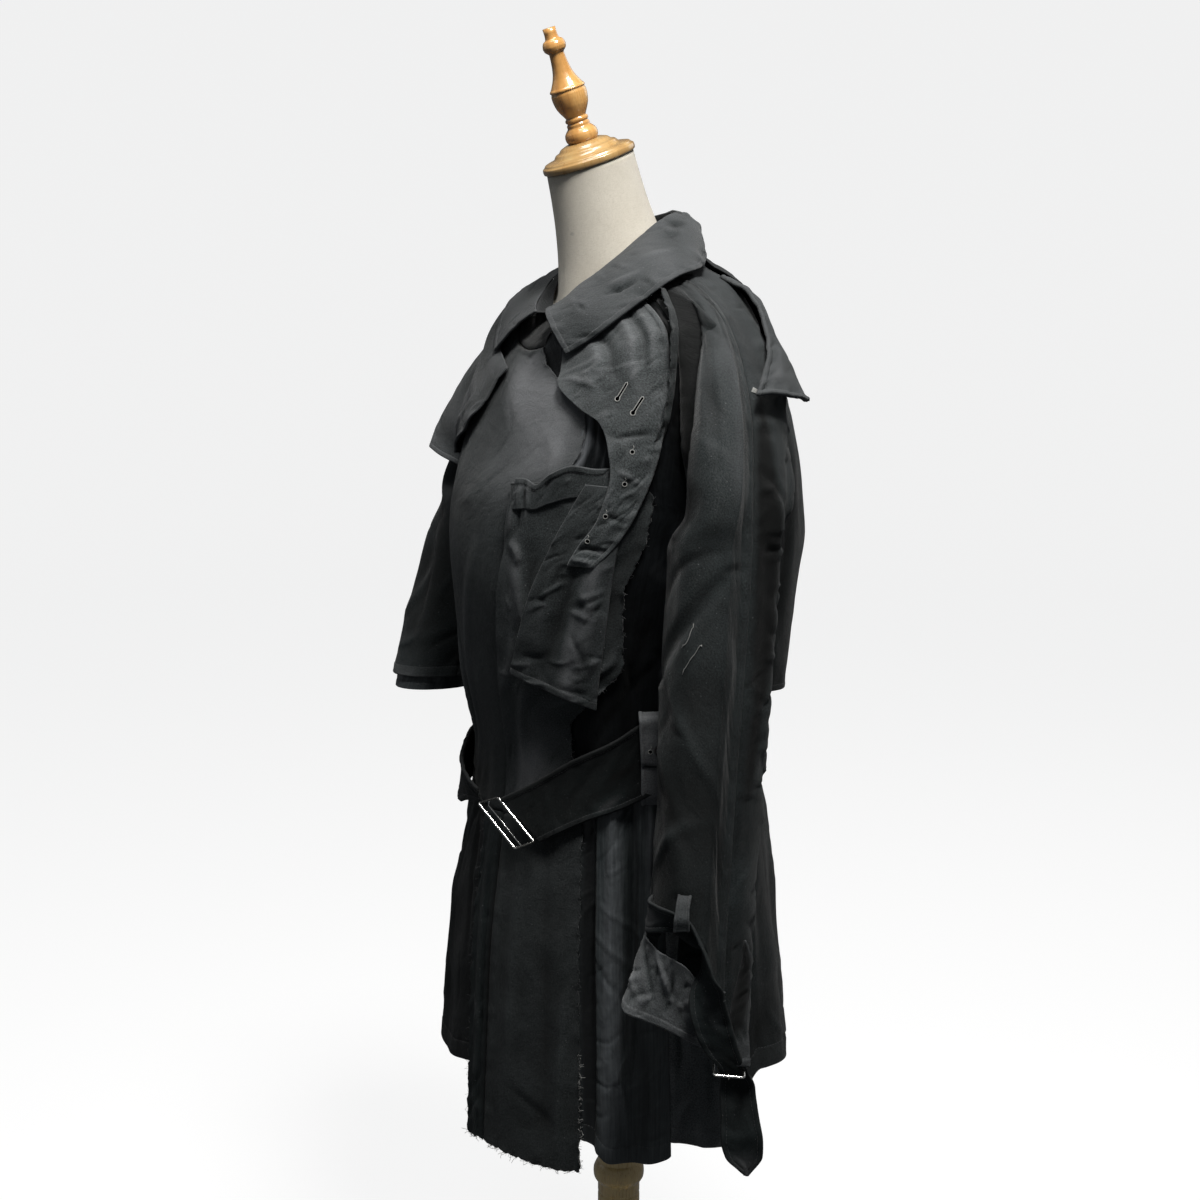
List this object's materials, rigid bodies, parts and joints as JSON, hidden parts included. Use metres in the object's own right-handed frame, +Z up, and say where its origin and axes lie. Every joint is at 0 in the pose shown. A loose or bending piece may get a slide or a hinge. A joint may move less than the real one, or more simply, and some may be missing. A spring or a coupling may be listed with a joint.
{
  "type": "trench coat on a dress form",
  "caption": "Cut-away trench coat with raglan sleeves, cape, storm flap, loose belt and buckled cuff strap, worn by a limbless dress form with a turned finial, pole and round base.",
  "frame": {"origin": "centre of the round base's underside, on the floor", "axes": "+Z up, the coat's front faces -Y, the wearer's left is +X"},
  "size_m": [0.6726, 0.4022, 1.7057],
  "materials": {
    "coat_cloth": "matt woven wool and cotton",
    "lining": "smooth, slightly shiny lining cloth",
    "form_linen": "matt undyed linen",
    "varnished_wood": "clear varnish",
    "buckle_metal": "satin",
    "button": "matt horn"
  },
  "bodies": {
    "root": {"back_cape": "coat_cloth", "back_left": "coat_cloth", "back_right": "coat_cloth", "belt": "coat_cloth", "belt_buckle": "buckle_metal", "belt_button_left": "button", "belt_button_right": "button", "belt_loop_left": "coat_cloth", "belt_loop_right": "coat_cloth", "buttonhole_piece": "coat_cloth", "chest_panel": "coat_cloth", "collar_leaf": "coat_cloth", "collar_stand": "coat_cloth", "cuff_buckle_left": "buckle_metal", "cuff_keeper_left": "coat_cloth", "cuff_left": "coat_cloth", "cuff_strap_left": "coat_cloth", "epaulette_left": "coat_cloth", "epaulette_right": "coat_cloth", "form_base": "varnished_wood", "form_cap": "varnished_wood", "form_finial": "varnished_wood", "form_pole": "varnished_wood", "form_torso": "form_linen", "front_facing_left": "coat_cloth", "front_strip": "coat_cloth", "neck_facing": "coat_cloth", "placket_piece": "coat_cloth", "pocket_band": "coat_cloth", "pocket_piece": "coat_cloth", "side_lining_left": "lining", "skirt_lining_left": "lining", "skirt_right": "coat_cloth", "skirt_side_left": "coat_cloth", "sleeve_left_back": "coat_cloth", "sleeve_left_front": "coat_cloth", "sleeve_right_back": "coat_cloth", "sleeve_right_front": "coat_cloth", "sleeve_right_lining": "lining", "storm_flap_right": "coat_cloth"}
  },
  "joints": []
}
